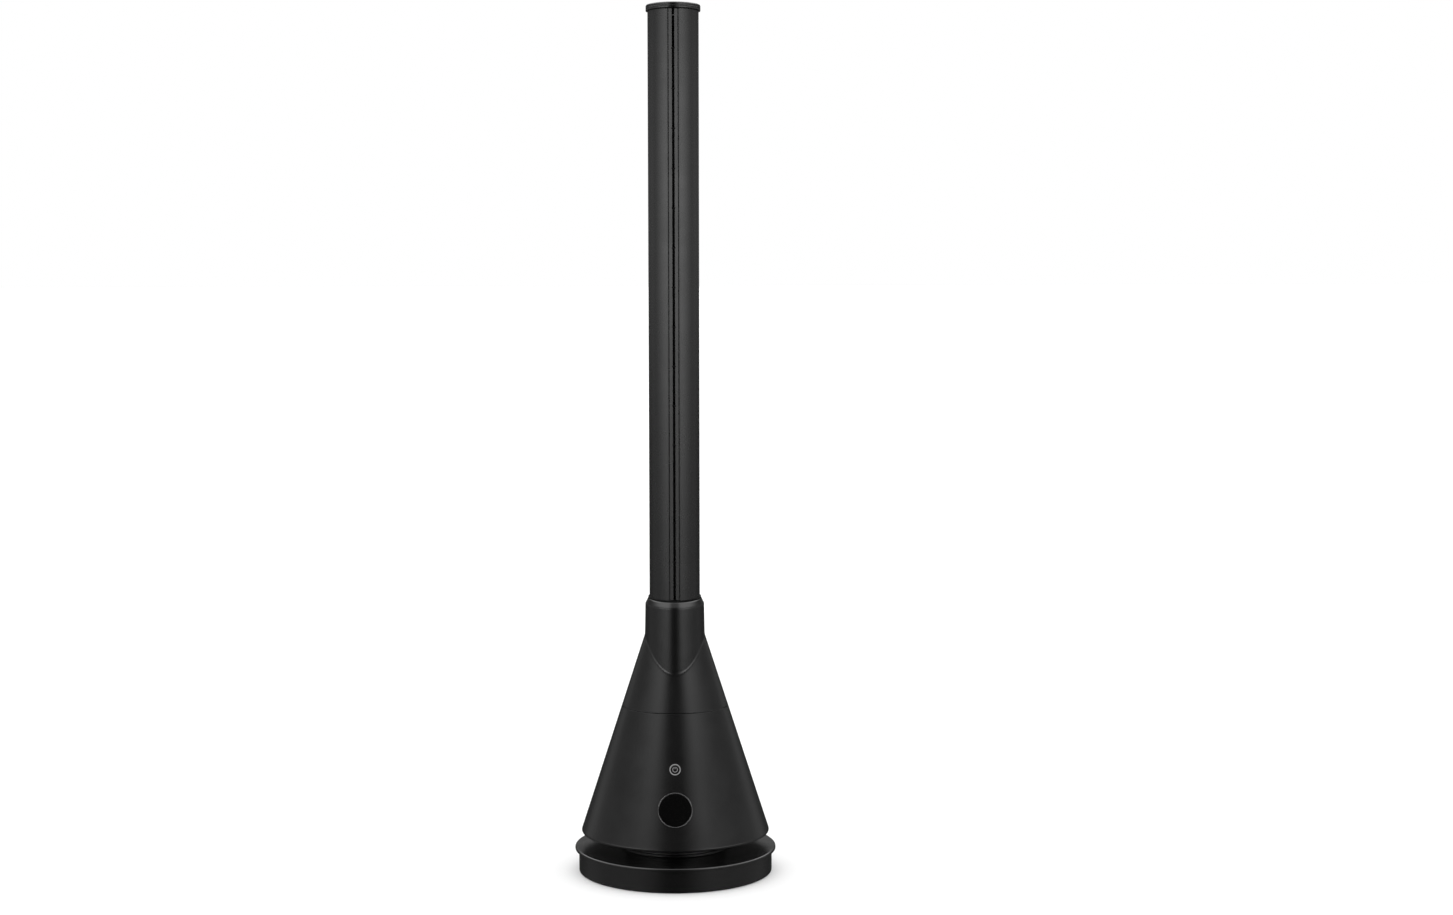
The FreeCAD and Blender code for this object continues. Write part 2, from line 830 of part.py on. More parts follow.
def column_tube():
    """The oval column, open along the front above the collar."""
    low = dim("column_low")
    high = dim("column_high")
    skin = oval_ring(dim("column_half_width"), dim("column_half_depth"), dim("column_wall"), low, high)
    opening = block((-dim("channel_half_width") - 0.1, -50, dim("slot_low")),
                    (dim("channel_half_width") + 0.1, -20, high + 1))
    bolts = [lying_cylinder(screw_radius + 0.02, 30, 45, 0, z) for z in column_screw_heights]
    part(cut(skin, [opening, *bolts]), "column_tube")


def vane_outline(top):
    """Side view of one turning vane: level in front, then curving back and down, in straight steps."""
    steps = 8
    front = dim("web_front")
    depth = dim("vane_depth")
    drop = dim("vane_drop")
    thickness = dim("web_thickness")
    outside = []
    inside = []
    for step in range(steps + 1):
        angle = math.radians(90 * step / steps)
        back = round(math.sin(angle), 6)
        down = round(1 - math.cos(angle), 6)
        outside.append((front + depth * back, top - drop * down))
        inside.append((front + (depth - thickness) * back, top - thickness - (drop - thickness) * down))
    return [*outside, *reversed(inside)]


def nozzle_strip():
    """The front channel: two sloping lips with a slot between them, tied together by turning vanes."""
    low = dim("slot_low") + 0.1
    high = dim("column_high") - 0.1
    edge = dim("channel_half_width")
    slot = dim("slot_half_width")
    wall = slot + dim("slot_wall")
    body = new_body("nozzle_strip")
    lips = []
    for side in (-1, 1):
        corners = [
            (edge, dim("channel_front")), (slot, dim("slot_front")), (slot, dim("slot_back")),
            (wall, dim("slot_back")), (wall, Size(-33)), (Size(9), Size(-33.6)), (Size(9), Size(-35.1)),
            (edge, Size(-35.1)),
        ]
        lips.append([(u * side, v) for u, v in corners])
    pad_loops(body, lips, low, high)
    half_length = wall - 0.2
    lowest = dim("web_top") - dim("web_pitch") * (dim("web_count") - 2)
    sketch = new_sketch(body, "YZ_Plane", -half_length)
    draw_loop(sketch, vane_outline(lowest + dim("web_thickness") / 2))
    vane = body.newObject("PartDesign::Pad", "Vane")
    vane.Profile = sketch
    vane.setExpression("Length", (half_length * 2).text)
    document.recompute()
    ladder = body.newObject("PartDesign::LinearPattern", "Ladder")
    ladder.Originals = [vane]
    ladder.Direction = (origin_feature(body, "Z_Axis"), [""])
    ladder.Mode = "Spacing"
    ladder.setExpression("Offset", dim("web_pitch").text)
    ladder.Occurrences = int(DIMENSIONS["web_count"]) - 1
    body.Tip = ladder
    document.recompute()
    foot = lowest - dim("web_pitch")
    bar = [
        (-half_length, dim("web_front")),
        (half_length, dim("web_front")),
        (half_length, dim("slot_back")),
        (-half_length, dim("slot_back")),
    ]
    pad_loops(body, [bar], foot - dim("web_thickness") / 2, foot + dim("web_thickness") / 2)


def top_cap():
    """Oval lid with a bevelled edge, a fine waist line and a spigot into the column."""
    low = dim("cap_low")
    high = dim("overall_height")
    half_width = dim("column_half_width") + dim("cap_overhang")
    half_depth = dim("column_half_depth") + dim("cap_overhang")

    def ring(inset, height):
        return oval(half_width - inset, half_depth - inset, height)

    lid = loft([ring(0.4, low), ring(0, low + 0.5), ring(0, low + 3.3), ring(0.25, low + 3.5), ring(0.05, low + 3.7),
                ring(0.05, high - 1.4), ring(0.5, high - 0.5), ring(1.5, high)])
    inner_width = dim("column_half_width") - dim("column_wall") - 0.2
    inner_depth = dim("column_half_depth") - dim("column_wall") - 0.2
    spigot = oval_ring(inner_width, inner_depth, 1.8, low - 12, low + 0.2)
    notch = block((-12, -50, low - 13), (12, -18, low))
    part(fuse([lid, cut(spigot, [notch])]), "top_cap")


def column_seal():
    """Soft oval ring that fills the gap between column and collar. Its head lies on the rim."""
    neck = dim("mouth_gap") - dim("running_gap")
    half_width = dim("column_half_width")
    half_depth = dim("column_half_depth")
    neck_low = dim("rim") - dim("mouth_length") + 1
    stem = oval_prism(half_width + neck, half_depth + neck, neck_low, dim("rim"))
    overhang = dim("seal_overhang")
    head = oval_prism(half_width + overhang, half_depth + overhang, dim("rim"), dim("seal_high"))
    core = oval_prism(half_width, half_depth, neck_low - 1, dim("seal_high") + 1)
    part(cut(fuse([stem, head]), [core]), "column_seal")


def column_screws():
    """Two screws that hold the column in the collar from behind."""
    items = []
    for height in column_screw_heights:
        head = lying_cylinder(3, 44.05, 45.0, 0, height)
        shank = lying_cylinder(screw_radius, 36.5, 44.05, 0, height)
        items.append(fuse([head, shank]))
    part(group(items), "column_screws")


# ---------------------------------------------------------------- blower

def blower_deck():
    """Partition that carries the blower on four soft mounts."""
    low = dim("deck_low")
    high = low + 2.6
    body = turned("blower_deck", ring_corners(Size(44), cone_inside(high, 1.0), low, high))
    pocket_circles(body, deck_screw_places, clear_radius, low, high)
    pocket_circles(body, grille_screw_places, 4, low, high)


def deck_screws():
    low = dim("deck_low")
    screws("deck_screws", deck_screw_places, 2.9, screw_radius, (low - 1.6, low), (low, 72))


def vibration_mounts():
    low = dim("deck_low") + 2.6
    pads = [cylinder(5, low, dim("blower_low"), x, y) for x, y in mount_places]
    part(group(pads), "vibration_mounts")


def inlet_bell():
    """Rounded inlet that leads the air into the impeller's eye."""
    low = dim("deck_low") + 2.6
    turned("inlet_bell", [
        (Size(43), low), (Size(52), low), (Size(52), low + 1.6), (Size(44.4), low + 1.6),
        (Size(39.6), low + 3.6), (Size(37.7), low + 7), (Size(37.7), low + 10.4),
        (Size(36.2), low + 10.4), (Size(36.2), low + 6.6), (Size(38.2), low + 2.8),
    ])


def shroud_corners(gap):
    """Inner contour of the shroud as (radius, height), drawn in by a gap."""
    contour = [(38.5, 69), (41, 78), (46, 90), (53, 102), (57, 112), (57, 118)]
    return [(Size(radius) - gap, Size(height)) for radius, height in contour]


def impeller_shroud():
    inner = shroud_corners(0)
    outer = [(radius + 2.2, height) for radius, height in reversed(inner[1:])]
    flange = [(Size(66.5), Size(71)), (Size(66.5), dim("blower_low")), (Size(38.5), dim("blower_low"))]
    turned("impeller_shroud", [*inner[1:], *outer, (Size(41.6), Size(71)), *flange])


def blade_outline(inner, outer, sweep, thickness):
    """Plan view of one backward-swept blade between two radii, in straight steps."""
    steps = 6
    faces = []
    for side in (0.5, -0.5):
        face = []
        for step in range(steps + 1):
            part_way = step / steps
            radius = inner + (outer - inner) * part_way
            angle = math.radians(sweep * part_way ** 1.3) + side * thickness / radius
            face.append((round(radius * math.cos(angle), 4), round(radius * math.sin(angle), 4)))
        faces.append(face)
    return [*faces[0], *reversed(faces[1])]


def impeller():
    """Mixed-flow impeller: a flaring hub with swept blades trimmed to the shroud's contour."""
    bore = dim("shaft_radius")
    hub = [(bore, 72), (10, 72), (14, 78), (22, 90), (34, 102), (44, 110), (44, 112), (bore, 112)]
    body = turned("impeller", hub)
    blade = pad_loops(body, [blade_outline(9, 60, 55, 1.8)], 74, 111)
    repeat_round(body, blade, int(DIMENSIONS["blade_count"]))
    contour = shroud_corners(dim("blade_gap"))[:5]
    trim = [*contour, (Size(75), Size(112)), (Size(75), Size(69))]
    sketch = new_sketch(body, "XZ_Plane")
    draw_loop(sketch, trim)
    groove = body.newObject("PartDesign::Groove", "Trim")
    groove.Profile = sketch
    groove.ReferenceAxis = (sketch, ["V_Axis"])
    groove.Angle = 360
    document.recompute()
    hollow = [(Size(6), Size(113)), (Size(38), Size(113)), (Size(38), Size(109)), (Size(6), Size(86))]
    sketch = new_sketch(body, "XZ_Plane")
    draw_loop(sketch, hollow)
    relief = body.newObject("PartDesign::Groove", "Relief")
    relief.Profile = sketch
    relief.ReferenceAxis = (sketch, ["V_Axis"])
    relief.Angle = 360
    document.recompute()


def impeller_nut():
    sizes = {"Circumradius": 5.5, "Height": 4.6}
    hexagon = solid("Prism", sizes, z=67.3)
    hexagon.Polygon = 6
    part(cut(hexagon, [cylinder(dim("shaft_radius"), 60, 80)]), "impeller_nut")


def diffuser():
    """Outlet ring with straightening vanes round a closed pod that holds the motor."""
    body = turned("diffuser", [
        (57, 118), (59.2, 118), (59.2, 119), (56.6, 168), (54.4, 168), (57, 119),
    ])
    vane = pad_loops(body, [blade_outline(42.6, 55.2, 10, 1.6)], 122, 160)
    repeat_round(body, vane, 11)
    revolve(body, [(41.6, 114), (43.6, 114), (43.6, 146), (38, 162), (26, 173), (0, 177), (0, 175),
                   (25, 171), (36.4, 161), (41.6, 145.6)])


def motor_housing():
    """Cup that closes the pod from below and holds the stator and the lower bearing."""
    turned("motor_housing", [
        (4, 114), (41.5, 114), (41.5, 116), (32, 116), (32, 146), (30.2, 146), (30.2, 116.8),
        (11.5, 116.8), (11.5, 121.5), (9.5, 121.5), (9.5, 115.6), (4, 115.6),
    ])


def motor_cover():
    turned("motor_cover", [
        (4, 148.5), (4, 147), (9.5, 147), (9.5, 141.4), (11.5, 141.4), (11.5, 146), (32, 146), (32, 148.5),
    ])


def stator_core():
    """Laminated ring with nine poles."""
    ring = tube(26, 30.2, 123, 140)
    poles = []
    for x, y in round_places(Size(20.6), 9, 0):
        angle = math.degrees(math.atan2(y.value, x.value))
        turn = Rotation(Vector(0, 0, 1), angle)
        bar = solid("Box", {"Length": 12.4, "Width": 5, "Height": 17}, rotation=turn)
        unit = (x.value / 20.6, y.value / 20.6)
        corner = (14.4 * unit[0] + 2.5 * unit[1], 14.4 * unit[1] - 2.5 * unit[0])
        poles.append(move(bar, corner[0], corner[1], 123, turn))
    part(cut(fuse([ring, *poles]), [cylinder(14.3, 120, 145)]), "stator_core")


def stator_windings():
    """One coil round each pole."""
    coils = []
    for x, y in round_places(Size(21.5), 9, 0):
        angle = math.degrees(math.atan2(y.value, x.value))
        turn = Rotation(Vector(0, 0, 1), angle)
        unit = (x.value / 21.5, y.value / 21.5)

        def slab(width, low, high):
            corner = (18.6 * unit[0] + width / 2 * unit[1], 18.6 * unit[1] - width / 2 * unit[0])
            bar = solid("Box", {"Length": 6.2, "Width": width, "Height": high - low})
            return move(bar, corner[0], corner[1], low, turn)

        coils.append(cut(slab(8.6, 121.6, 141), [slab(5, 123, 140)]))
    part(group(coils), "stator_windings")


def motor_bearings():
    lower = tube(dim("shaft_radius") + 0.03, 9.5, 115.7, 121.2)
    upper = tube(dim("shaft_radius") + 0.03, 9.5, 141.6, 147)
    part(group([lower, upper]), "motor_bearings")


def motor_rotor():
    part(tube(dim("shaft_radius"), 13.7, 122.6, 140.6), "motor_rotor")


def motor_shaft():
    part(cylinder(dim("shaft_radius"), 64.8, 149.5), "motor_shaft")


def duct_adapter():
    """Duct that changes from the round blower outlet to the oval foot of the column."""
    low = Size(168.2)
    shoulder = dim("column_low") - 2
    top = shoulder + 22

    def round_section(inset):
        quarter_turn = Rotation(Vector(0, 0, 1), 90)
        return solid("Circle", {"Radius": Size(56.6) - inset}, z=low, rotation=quarter_turn)

    def oval_section(inset, height):
        return oval(dim("column_half_width") - inset, dim("column_half_depth") - inset, height)

    skin = loft([round_section(0), oval_section(0, shoulder)])
    spigot = oval_prism(dim("column_half_width") - 2.5, dim("column_half_depth") - 2.5, shoulder, top)
    hollow = loft([round_section(2.2), oval_section(4.3, shoulder)])
    bore = oval_prism(dim("column_half_width") - 4.3, dim("column_half_depth") - 4.3, shoulder, top + 1)
    part(cut(fuse([skin, spigot]), [hollow, bore]), "duct_adapter")


def duct_gasket():
    shoulder = dim("column_low") - 2
    half_width = dim("column_half_width")
    part(oval_ring(half_width, dim("column_half_depth"), 2.3, shoulder, dim("column_low")), "duct_gasket")


# ---------------------------------------------------------------- display, button and electronics

def display_ring():
    """Thin proud ring round the window, with a seat for the lens."""
    height = dim("display_height")
    rim = tilted_ring(dim("display_radius") + 0.02, dim("display_ring_radius"), -5, 0.4, height)
    seat = tilted_ring(Size(16), dim("display_radius") + 0.5, -5, -3, height)
    part(fuse([rim, seat]), "display_ring")


def display_lens():
    part(tilted_disc(dim("display_radius"), -3, -0.1, dim("display_height")), "display_lens")


def display_board():
    """Long board behind the window and the button."""
    height = dim("display_height")
    board = tilted_block((-16, -16, -12), (16, 56, -10.4), height)
    holes = [tilted_disc(1.3, -13, -9, height, up, side) for side, up in board_pillars]
    part(cut(board, holes), "display_board")


def digit_module():
    part(tilted_block((-12, -7, -10.4), (12, 7, -5.4), dim("display_height")), "digit_module")


def infrared_receiver():
    part(tilted_block((-3, -14.5, -10.4), (3, -9.5, -6.4), dim("display_height")), "infrared_receiver")


def board_screws():
    items = []
    for side, up in board_pillars:
        head = tilted_disc(2.2, -13.4, -12, dim("display_height"), up, side)
        shank = tilted_disc(1.1, -12, -6.2, dim("display_height"), up, side)
        items.append(fuse([head, shank]))
    part(group(items), "board_screws")


def tactile_switch():
    """Small switch under the button's stem."""
    height = dim("display_height")
    base = tilted_block((-3, button_up - 3, -10.4), (3, button_up + 3, -7), height)
    plunger = tilted_disc(1.7, -7, -6, dim("button_height"))
    part(fuse([base, plunger]), "tactile_switch")


def button_ring():
    """Light ring round the power button."""
    part(tilted_ring(dim("button_radius") + 0.15, dim("button_ring_radius"), -2.2, 0.15, dim("button_height")),
         "button_ring")


def power_button():
    """Cap, retaining flange and stem."""
    height = dim("button_height")
    cap = tilted_disc(dim("button_radius"), -2.5, -0.05, height)
    flange = tilted_disc(5.7, -3.5, -2.5, height)
    stem = tilted_disc(1.6, Size(-6) + dim("button_travel") + 0.1, -3.5, height)
    part(fuse([cap, flange, stem]), "power_button")


def power_symbol():
    """Inlay on the button: an open ring with a bar at the top."""
    height = dim("button_height")
    arc = cut(tilted_disc(2.9, -0.05, 0.1, height),
              [tilted_disc(2.3, -1, 1, height), tilted_block((-1.1, 1, -1), (1.1, 4, 1), height)])
    bar = tilted_block((-0.32, 0.6, -0.05), (0.32, 3.1, 0.1), height)
    part(group([arc, bar]), "power_symbol")


def board_rail():
    """Grooved rail on the deck that the control board stands in."""
    low = dim("deck_low") + 2.6
    rail = block((-26, 69.5, low), (26, 76, low + 8))
    groove = block((-30, 72, low + 2), (30, 73.7, low + 9))
    part(cut(rail, [groove]), "board_rail")


def control_board():
    low = dim("deck_low") + 4.6
    part(block((-22, 72, low), (22, 73.6, low + 38)), "control_board")


def control_components():
    low = dim("deck_low") + 16
    chips = [block((-15, 73.6, low), (-3, 75.4, low + 12)), block((2, 73.6, low + 3), (10, 76, low + 11))]
    capacitor = lying_cylinder(3.5, 73.6, 79, 15, low + 6)
    part(group([*chips, capacitor]), "control_components")


BUILDERS = [
    base_cover, base_plate, rubber_feet, base_screws, ballast_ring, cord_gland, gland_nut, cord_clamp,
    supply_board, supply_components, pivot_post, retaining_ring, thrust_washer, fixed_gear, pivot_screws,
    turntable, pivot_bush, oscillation_motor, oscillation_screws, pinion, turntable_screws, intake_grille,
    grille_screws, lower_shell, upper_shell, column_tube, nozzle_strip, top_cap, column_seal, column_screws,
    blower_deck, deck_screws, vibration_mounts, inlet_bell, impeller_shroud, impeller, impeller_nut, diffuser,
    motor_housing, motor_cover, stator_core, stator_windings, motor_bearings, motor_rotor, motor_shaft,
    duct_adapter, duct_gasket, display_ring, display_lens, display_board, digit_module, infrared_receiver,
    board_screws, tactile_switch, button_ring, power_button, power_symbol, board_rail, control_board,
    control_components,
]


def check_document():
    """Stops before anything is written if a feature failed or a shape is not sound."""
    failed = [item.Name for item in document.Objects if {"Invalid", "Error"} & set(item.State)]
    if failed:
        raise RuntimeError(f"failed features: {failed}")
    for item in parts:
        if item.Shape.isNull() or not item.Shape.isValid():
            raise RuntimeError(f"{item.Label} is not a valid shape")
        if not item.Shape.Solids:
            raise RuntimeError(f"{item.Label} has no solid")


for build in BUILDERS:
    build()
document.recompute()
check_document()
os.makedirs("parts", exist_ok=True)
for item in parts:
    item.Shape.exportStep(f"parts/{item.Label}.step")
    box = item.Shape.BoundBox
    print(f"{item.Label}: {len(item.Shape.Solids)} solid(s), {item.Shape.Volume / 1000:.1f} cm3, "
          f"z {box.ZMin:.1f} to {box.ZMax:.1f}")
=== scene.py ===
"""Looks of the tower fan: moulded shells, slotted column, window and button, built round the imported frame."""
import json
import math

import bmesh
import bpy
from mathutils import Matrix, Vector


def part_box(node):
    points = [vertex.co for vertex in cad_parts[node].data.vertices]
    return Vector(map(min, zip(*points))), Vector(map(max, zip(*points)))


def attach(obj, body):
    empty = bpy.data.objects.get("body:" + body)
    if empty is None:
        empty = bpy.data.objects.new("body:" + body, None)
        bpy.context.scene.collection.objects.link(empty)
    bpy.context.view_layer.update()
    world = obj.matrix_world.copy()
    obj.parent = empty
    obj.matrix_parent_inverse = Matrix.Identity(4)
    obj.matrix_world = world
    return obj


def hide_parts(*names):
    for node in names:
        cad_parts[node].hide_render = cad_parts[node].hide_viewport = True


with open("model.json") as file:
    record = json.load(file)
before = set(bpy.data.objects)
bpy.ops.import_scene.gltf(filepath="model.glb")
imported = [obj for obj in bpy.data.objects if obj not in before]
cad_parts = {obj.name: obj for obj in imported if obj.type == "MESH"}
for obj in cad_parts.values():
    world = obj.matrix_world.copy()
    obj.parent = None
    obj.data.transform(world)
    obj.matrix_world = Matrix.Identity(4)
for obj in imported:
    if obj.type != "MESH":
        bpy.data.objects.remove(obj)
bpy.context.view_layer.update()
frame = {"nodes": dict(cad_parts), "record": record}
MM = 0.001


def span(node):
    """Lowest and highest corner of a CAD node, in millimetres."""
    low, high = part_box(node)
    return [value / MM for value in low], [value / MM for value in high]


# ---------------------------------------------------------------- dimensions, in millimetres

COVER_LOW, COVER_HIGH = span("base_cover")
LOWER_LOW, LOWER_HIGH = span("lower_shell")
UPPER_HIGH = span("upper_shell")[1]
TUBE_LOW, TUBE_HIGH = span("column_tube")
STRIP_LOW, STRIP_HIGH = span("nozzle_strip")
CAP_HIGH = span("top_cap")[1]

# Floor dish
LIP_RADIUS = COVER_HIGH[0]
LIP_LOW = 25.0
LIP_HIGH = 28.4
DISH_RADIUS = LIP_RADIUS - 4.3
DISH_WALL = 2.4
DISH_LOW = COVER_LOW[2]
DECK_HIGH = 27.6
BOSS_RADIUS = 60.0
BOSS_HIGH = COVER_HIGH[2]
BOSS_WALL = 2.6
POST_HOLE = 11.3

# Cone
CONE_LOW = LOWER_LOW[2]
CONE_SLOPE = 0.3248
CONE_RADIUS = 105.83
CONE_WALL = 2.6
CONE_FOOT = 4.3
FOOT_ROUND = 2.6
SEAM_LOW = LOWER_HIGH[2]
SEAM_HIGH = SEAM_LOW + 0.6
CONE_TILT = math.atan(CONE_SLOPE)

# Collar
RIM = UPPER_HIGH[2]
COLLAR_HALF_WIDTH = 34.1
COLLAR_HALF_DEPTH = 46.0
COLLAR_DRAFT = 0.0195
COLLAR_START = 228.3
COLLAR_WALL = 3.0
BEVEL_HIGH = 6.2
BEVEL_IN = 2.8
MOUTH_GAP = 0.8
MOUTH_LENGTH = 16.0

# Column
HALF_WIDTH = TUBE_HIGH[0]
HALF_DEPTH = TUBE_HIGH[1]
TUBE_WALL = 2.2
SLOT_LOW = 300.0
CHANNEL = 5.2
SLOT = 1.25
CHANNEL_FRONT = -38.95
SLOT_FRONT = -36.95
SLOT_BACK = -22.0
SLOT_WALL = 1.3
WEB_PITCH = 42.954
WEB_COUNT = 15
WEB_TOP = 910.7
WEB_FRONT = -37.5
WEB_THICKNESS = 1.4
VANE_DEPTH = 13.0
VANE_DROP = 40.0
CAP_HALF_WIDTH = CAP_HIGH[0]
CAP_HALF_DEPTH = CAP_HIGH[1]
CAP_PLATE_LOW = 953.2

# Window and button
WINDOW_HEIGHT = 87.8
WINDOW_RADIUS = 18.05
WINDOW_RING = 18.95
BUTTON_HEIGHT = 129.8
BUTTON_RADIUS = 4.75
BUTTON_RING = 6.1


# ---------------------------------------------------------------- material helpers

def new_material(name):
    material = bpy.data.materials.new(name)
    material.use_nodes = True
    nodes = material.node_tree.nodes
    shader = nodes["Principled BSDF"]
    return material, nodes, material.node_tree.links, shader


def noise_node(nodes, links, place, scale, detail=3.0, roughness=0.55):
    noise = nodes.new("ShaderNodeTexNoise")
    noise.inputs["Scale"].default_value = scale
    noise.inputs["Detail"].default_value = detail
    noise.inputs["Roughness"].default_value = roughness
    links.new(place.outputs["Object"], noise.inputs["Vector"])
    return noise


def ramp_node(nodes, links, source, low, high, start=0.3, end=0.7):
    """Maps a 0..1 value to a colour or a grey between low and high."""
    ramp = nodes.new("ShaderNodeValToRGB")
    ramp.color_ramp.elements[0].position = start
    ramp.color_ramp.elements[1].position = end
    ramp.color_ramp.elements[0].color = as_colour(low)
    ramp.color_ramp.elements[1].color = as_colour(high)
    links.new(source, ramp.inputs["Fac"])
    return ramp


def as_colour(value):
    if isinstance(value, (int, float)):
        return (value, value, value, 1.0)
    return (*value, 1.0)


def moulded(name, dark, light, rough, grain, bump, specular=0.5):
    """Moulded or painted surface: fine spark-eroded grain, faint colour drift and uneven gloss."""
    material, nodes, links, shader = new_material(name)
    place = nodes.new("ShaderNodeTexCoord")
    drift = noise_node(nodes, links, place, 14.0, 4.0)
    colour = ramp_node(nodes, links, drift.outputs["Fac"], dark, light)
    links.new(colour.outputs["Color"], shader.inputs["Base Color"])
    smear = noise_node(nodes, links, place, 38.0, 5.0, 0.6)
    gloss = ramp_node(nodes, links, smear.outputs["Fac"], rough[0], rough[1])
    links.new(gloss.outputs["Color"], shader.inputs["Roughness"])
    fine = noise_node(nodes, links, place, grain, 2.0)
    relief = nodes.new("ShaderNodeBump")
    relief.inputs["Strength"].default_value = bump
    relief.inputs["Distance"].default_value = 0.0002
    links.new(fine.outputs["Fac"], relief.inputs["Height"])
    links.new(relief.outputs["Normal"], shader.inputs["Normal"])
    shader.inputs["Specular IOR Level"].default_value = specular
    return material


def metal(name, dark, light, rough, grain, bump):
    material = moulded(name, dark, light, rough, grain, bump)
    material.node_tree.nodes["Principled BSDF"].inputs["Metallic"].default_value = 1.0
    return material


def banded(name, dark, light, scale, axis, metallic, rough):
    """Fine parallel layers, as in stacked laminations or a wound coil."""
    material, nodes, links, shader = new_material(name)
    place = nodes.new("ShaderNodeTexCoord")
    wave = nodes.new("ShaderNodeTexWave")
    wave.bands_direction = axis
    wave.inputs["Scale"].default_value = scale
    wave.inputs["Distortion"].default_value = 0.6
    links.new(place.outputs["Object"], wave.inputs["Vector"])
    colour = ramp_node(nodes, links, wave.outputs["Fac"], dark, light, 0.2, 0.8)
    links.new(colour.outputs["Color"], shader.inputs["Base Color"])
    relief = nodes.new("ShaderNodeBump")
    relief.inputs["Strength"].default_value = 0.4
    relief.inputs["Distance"].default_value = 0.0003
    links.new(wave.outputs["Fac"], relief.inputs["Height"])
    links.new(relief.outputs["Normal"], shader.inputs["Normal"])
    shader.inputs["Metallic"].default_value = metallic
    shader.inputs["Roughness"].default_value = rough
    return material


def circuit_board():
    """Green solder mask with a faint pattern of tracks."""
    material, nodes, links, shader = new_material("board_green")
    place = nodes.new("ShaderNodeTexCoord")
    tracks = nodes.new("ShaderNodeTexBrick")
    tracks.inputs["Scale"].default_value = 260.0
    tracks.inputs["Mortar Size"].default_value = 0.03
    tracks.inputs["Color1"].default_value = (0.01, 0.10, 0.04, 1.0)
    tracks.inputs["Color2"].default_value = (0.012, 0.13, 0.05, 1.0)
    tracks.inputs["Mortar"].default_value = (0.03, 0.24, 0.10, 1.0)
    links.new(place.outputs["Object"], tracks.inputs["Vector"])
    links.new(tracks.outputs["Color"], shader.inputs["Base Color"])
    shader.inputs["Roughness"].default_value = 0.35
    return material


def polished_window():
    """Glossy black window with a clear hard coat and the faintest dust."""
    material = moulded("window_black", 0.0003, 0.0005, (0.035, 0.075), 220.0, 0.01, 0.5)
    shader = material.node_tree.nodes["Principled BSDF"]
    shader.inputs["Coat Weight"].default_value = 0.6
    shader.inputs["Coat Roughness"].default_value = 0.03
    return material


MATERIALS = {
    "black_plastic": moulded("black_plastic", 0.0024, 0.0032, (0.21, 0.26), 1500.0, 0.06),
    "column_paint": moulded("column_paint", 0.0030, 0.0038, (0.25, 0.29), 1300.0, 0.05),
    "window_black": polished_window(),
    "ring_black": metal("ring_black", 0.14, 0.18, (0.20, 0.27), 1500.0, 0.05),
    "pale_print": moulded("pale_print", 0.19, 0.23, (0.38, 0.46), 1800.0, 0.10),
    "soft_rubber": moulded("soft_rubber", 0.002, 0.003, (0.62, 0.75), 900.0, 0.3, 0.1),
    "zinc_steel": metal("zinc_steel", 0.50, 0.60, (0.26, 0.38), 700.0, 0.2),
    "cast_ballast": metal("cast_ballast", 0.08, 0.14, (0.60, 0.78), 350.0, 0.8),
    "inner_plastic": moulded("inner_plastic", 0.030, 0.042, (0.48, 0.58), 1100.0, 0.3),
    "impeller_grey": moulded("impeller_grey", 0.20, 0.25, (0.42, 0.52), 900.0, 0.3),
    "slide_white": moulded("slide_white", 0.66, 0.72, (0.34, 0.42), 900.0, 0.12),
    "slide_black": moulded("slide_black", 0.003, 0.004, (0.34, 0.42), 900.0, 0.12),
    "post_aluminium": metal("post_aluminium", 0.62, 0.70, (0.24, 0.34), 600.0, 0.2),
    "lamination_steel": banded("lamination_steel", 0.18, 0.34, 320.0, "Z", 1.0, 0.42),
    "winding_copper": banded("winding_copper", (0.42, 0.14, 0.05),
    (0.72, 0.32, 0.14), 420.0, "Z", 0.9, 0.34),
    "board_green": circuit_board(),
    "component_dark": moulded("component_dark", 0.020, 0.034, (0.40, 0.52), 1200.0, 0.25),
}

for entry in frame["record"]["subparts"]:
    node = frame["nodes"][entry["node"]]
    node.data.materials.clear()
    node.data.materials.append(MATERIALS[entry["material_slot"]])


# ---------------------------------------------------------------- mesh helpers

def piece_from(name, points, faces, body, slot, node, placing=None, sharp=35.0):
    """Makes a mesh piece from millimetre points, and puts it on a body in place of a CAD node."""
    mesh = bpy.data.meshes.new(name)
    mesh.from_pydata([Vector(point) * MM for point in points], [], faces)
    if placing is not None:
        mesh.transform(placing)
    working = bmesh.new()
    working.from_mesh(mesh)
    bmesh.ops.remove_doubles(working, verts=working.verts, dist=1e-6)
    bmesh.ops.recalc_face_normals(working, faces=working.faces)
    working.to_mesh(mesh)
    working.free()
    mesh.shade_smooth()
    mesh.set_sharp_from_angle(angle=math.radians(sharp))
    piece = bpy.data.objects.new(name, mesh)
    bpy.context.scene.collection.objects.link(piece)
    mesh.materials.append(MATERIALS[slot])
    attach(piece, body)
    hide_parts(node)
    return piece


def grid_faces(rows, columns, close_rows, first=0):
    """Quads between neighbouring rows of a closed-round grid. Rows may close on themselves."""
    faces = []
    for row in range(rows if close_rows else rows - 1):
        below = first + row * columns
        above = first + ((row + 1) % rows) * columns
        for column in range(columns):
            after = (column + 1) % columns
            faces.append((below + column, below + after, above + after, above + column))
    return faces


EDGE_GUARD = 0.1


